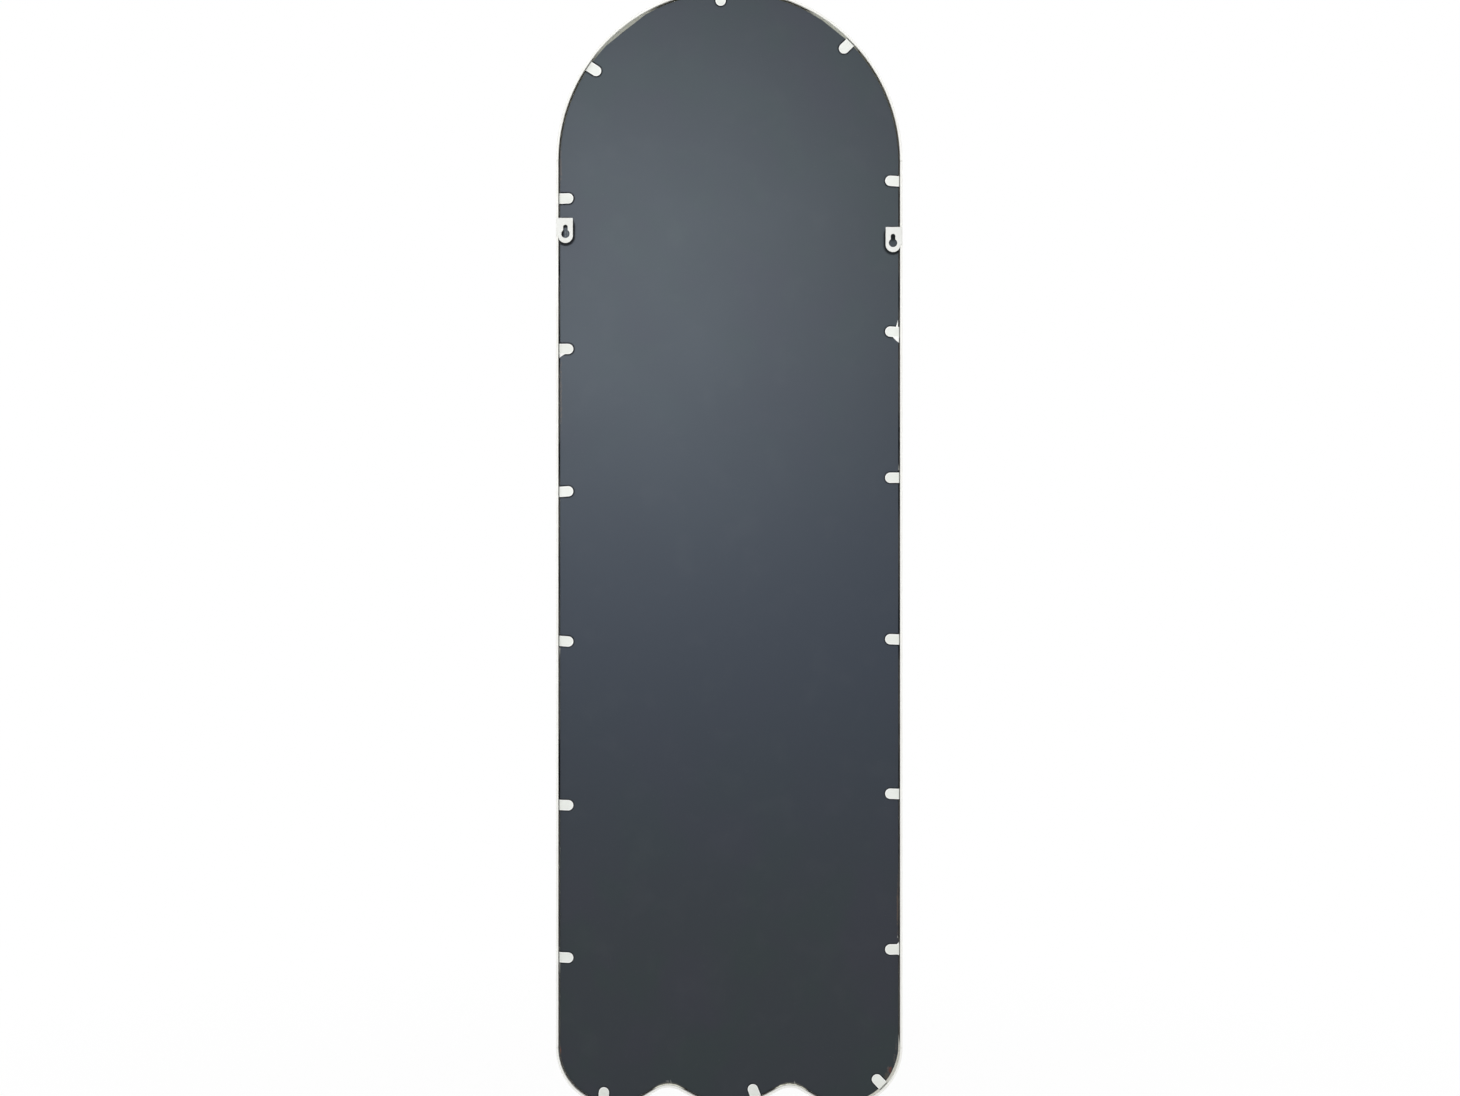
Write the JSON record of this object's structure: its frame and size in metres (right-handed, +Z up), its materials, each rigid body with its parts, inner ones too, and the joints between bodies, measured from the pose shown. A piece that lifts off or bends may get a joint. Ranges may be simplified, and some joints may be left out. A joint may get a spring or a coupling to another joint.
{
  "type": "wall mirror",
  "caption": "Tall arched wall mirror with a waved foot: thin white metal rim, slate back panel held by bend tabs, and keyhole hangers.",
  "frame": {"origin": "on the wall plane, midway between the round holes of the two keyhole hangers", "axes": "+Z up, +Y towards the wall, -Y the reflecting front, +X to the left seen from behind"},
  "size_m": [0.457, 0.0175, 1.4759],
  "materials": {
    "rim_white": "satin powder coat",
    "tab_white": "satin powder coat",
    "hanger_white": "satin powder coat",
    "foam_tape": "foam",
    "mirror_glass": "polished",
    "silver": "silvered",
    "slate_board": "satin slate paint on hardboard",
    "block_rubber": "matt"
  },
  "bodies": {
    "frame": {"lip_arch": "rim_white", "lip_left": "rim_white", "lip_right": "rim_white", "lip_wave": "rim_white", "rim_arch": "rim_white", "rim_left": "rim_white", "rim_right": "rim_white", "rim_wave": "rim_white", "glazing_tape": "foam_tape", "mirror_glass": "mirror_glass", "silver_coating": "silver", "backing_board": "slate_board", "setting_blocks": "block_rubber", "tab_feet": "tab_white", "hanger_left": "hanger_white", "hanger_right": "hanger_white"},
    "tab_left_1": {"tab_left_1": "tab_white"},
    "tab_left_2": {"tab_left_2": "tab_white"},
    "tab_left_3": {"tab_left_3": "tab_white"},
    "tab_left_4": {"tab_left_4": "tab_white"},
    "tab_left_5": {"tab_left_5": "tab_white"},
    "tab_left_6": {"tab_left_6": "tab_white"},
    "tab_right_1": {"tab_right_1": "tab_white"},
    "tab_right_2": {"tab_right_2": "tab_white"},
    "tab_right_3": {"tab_right_3": "tab_white"},
    "tab_right_4": {"tab_right_4": "tab_white"},
    "tab_right_5": {"tab_right_5": "tab_white"},
    "tab_right_6": {"tab_right_6": "tab_white"},
    "tab_crown": {"tab_crown": "tab_white"},
    "tab_arch_left": {"tab_arch_left": "tab_white"},
    "tab_arch_right": {"tab_arch_right": "tab_white"},
    "tab_wave_left": {"tab_wave_left": "tab_white"},
    "tab_wave_middle": {"tab_wave_middle": "tab_white"},
    "tab_wave_right": {"tab_wave_right": "tab_white"}
  },
  "joints": [
    {"name": "fold_left_1", "type": "hinge", "parent": "frame", "child": "tab_left_1", "pos_m": [0.22475, -0.0077, 0.05312], "axis": [0, 0, -1], "range_deg": [0, 90]},
    {"name": "fold_left_2", "type": "hinge", "parent": "frame", "child": "tab_left_2", "pos_m": [0.22475, -0.0077, -0.14534], "axis": [0, 0, -1], "range_deg": [0, 90]},
    {"name": "fold_left_3", "type": "hinge", "parent": "frame", "child": "tab_left_3", "pos_m": [0.22475, -0.0077, -0.33421], "axis": [0, 0, -1], "range_deg": [0, 90]},
    {"name": "fold_left_4", "type": "hinge", "parent": "frame", "child": "tab_left_4", "pos_m": [0.22475, -0.0077, -0.53091], "axis": [0, 0, -1], "range_deg": [0, 90]},
    {"name": "fold_left_5", "type": "hinge", "parent": "frame", "child": "tab_left_5", "pos_m": [0.22475, -0.0077, -0.74763], "axis": [0, 0, -1], "range_deg": [0, 90]},
    {"name": "fold_left_6", "type": "hinge", "parent": "frame", "child": "tab_left_6", "pos_m": [0.22475, -0.0077, -0.94878], "axis": [0, 0, -1], "range_deg": [0, 90]},
    {"name": "fold_right_1", "type": "hinge", "parent": "frame", "child": "tab_right_1", "pos_m": [-0.22475, -0.0077, 0.07594], "axis": [0, 0, 1], "range_deg": [0, 90]},
    {"name": "fold_right_2", "type": "hinge", "parent": "frame", "child": "tab_right_2", "pos_m": [-0.22475, -0.0077, -0.12323], "axis": [0, 0, 1], "range_deg": [0, 90]},
    {"name": "fold_right_3", "type": "hinge", "parent": "frame", "child": "tab_right_3", "pos_m": [-0.22475, -0.0077, -0.31537], "axis": [0, 0, 1], "range_deg": [0, 90]},
    {"name": "fold_right_4", "type": "hinge", "parent": "frame", "child": "tab_right_4", "pos_m": [-0.22475, -0.0077, -0.52916], "axis": [0, 0, 1], "range_deg": [0, 90]},
    {"name": "fold_right_5", "type": "hinge", "parent": "frame", "child": "tab_right_5", "pos_m": [-0.22475, -0.0077, -0.73324], "axis": [0, 0, 1], "range_deg": [0, 90]},
    {"name": "fold_right_6", "type": "hinge", "parent": "frame", "child": "tab_right_6", "pos_m": [-0.22475, -0.0077, -0.93837], "axis": [0, 0, 1], "range_deg": [0, 90]},
    {"name": "fold_crown", "type": "hinge", "parent": "frame", "child": "tab_crown", "pos_m": [0.01137, -0.0077, 0.32686], "axis": [0.9987, 0, -0.0506], "range_deg": [0, 90]},
    {"name": "fold_arch_left", "type": "hinge", "parent": "frame", "child": "tab_arch_left", "pos_m": [0.18602, -0.0077, 0.22845], "axis": [0.5606, 0, -0.8281], "range_deg": [0, 90]},
    {"name": "fold_arch_right", "type": "hinge", "parent": "frame", "child": "tab_arch_right", "pos_m": [-0.16023, -0.0077, 0.25996], "axis": [0.7009, 0, 0.7133], "range_deg": [0, 90]},
    {"name": "fold_wave_left", "type": "hinge", "parent": "frame", "child": "tab_wave_left", "pos_m": [0.1664, -0.0077, -1.13934], "axis": [-0.9781, 0, -0.2079], "range_deg": [0, 90]},
    {"name": "fold_wave_middle", "type": "hinge", "parent": "frame", "child": "tab_wave_middle", "pos_m": [-0.03553, -0.0077, -1.1345], "axis": [-0.9348, 0, 0.3551], "range_deg": [0, 90]},
    {"name": "fold_wave_right", "type": "hinge", "parent": "frame", "child": "tab_wave_right", "pos_m": [-0.20352, -0.0077, -1.11893], "axis": [-0.6997, 0, 0.7145], "range_deg": [0, 90]}
  ]
}
